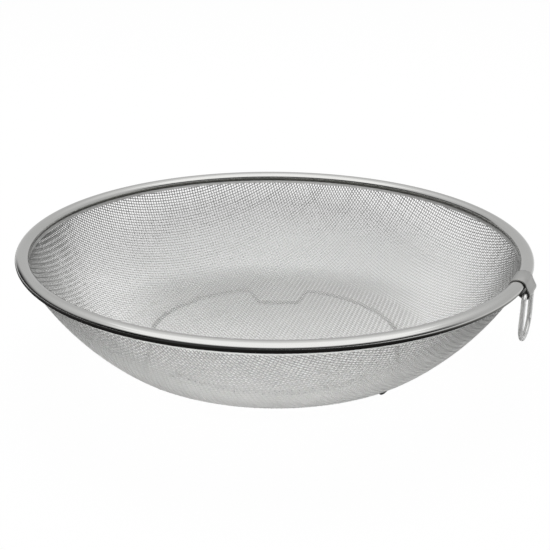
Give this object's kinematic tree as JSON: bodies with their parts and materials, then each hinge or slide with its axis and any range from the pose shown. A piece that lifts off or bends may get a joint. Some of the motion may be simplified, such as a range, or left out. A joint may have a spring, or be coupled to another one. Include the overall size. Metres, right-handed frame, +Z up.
{
  "type": "colander",
  "caption": "Shallow round wire cloth colander with a rolled rim, a bent wire base with feet and a hanging loop in a strap on the rim.",
  "frame": {"origin": "on the table under the middle of the bowl", "axes": "+Z up along the bowl's axis, +X towards the strap and hanging loop"},
  "size_m": [0.2422, 0.2398, 0.0624],
  "materials": {
    "wire_cloth": "satin",
    "polished_steel": "polished",
    "strap_steel": "matte"
  },
  "bodies": {
    "bowl": {"mesh_bowl": "wire_cloth", "rim_band": "polished_steel", "rim_wire": "polished_steel", "foot_wire": "polished_steel", "strap": "strap_steel"},
    "loop": {"hanging_loop": "polished_steel"}
  },
  "joints": [
    {"name": "loop_swing", "type": "hinge", "parent": "bowl", "child": "loop", "pos_m": [0.1202, 0, 0.05518], "axis": [0, -1, 0], "range_deg": [-35, 158]}
  ]
}
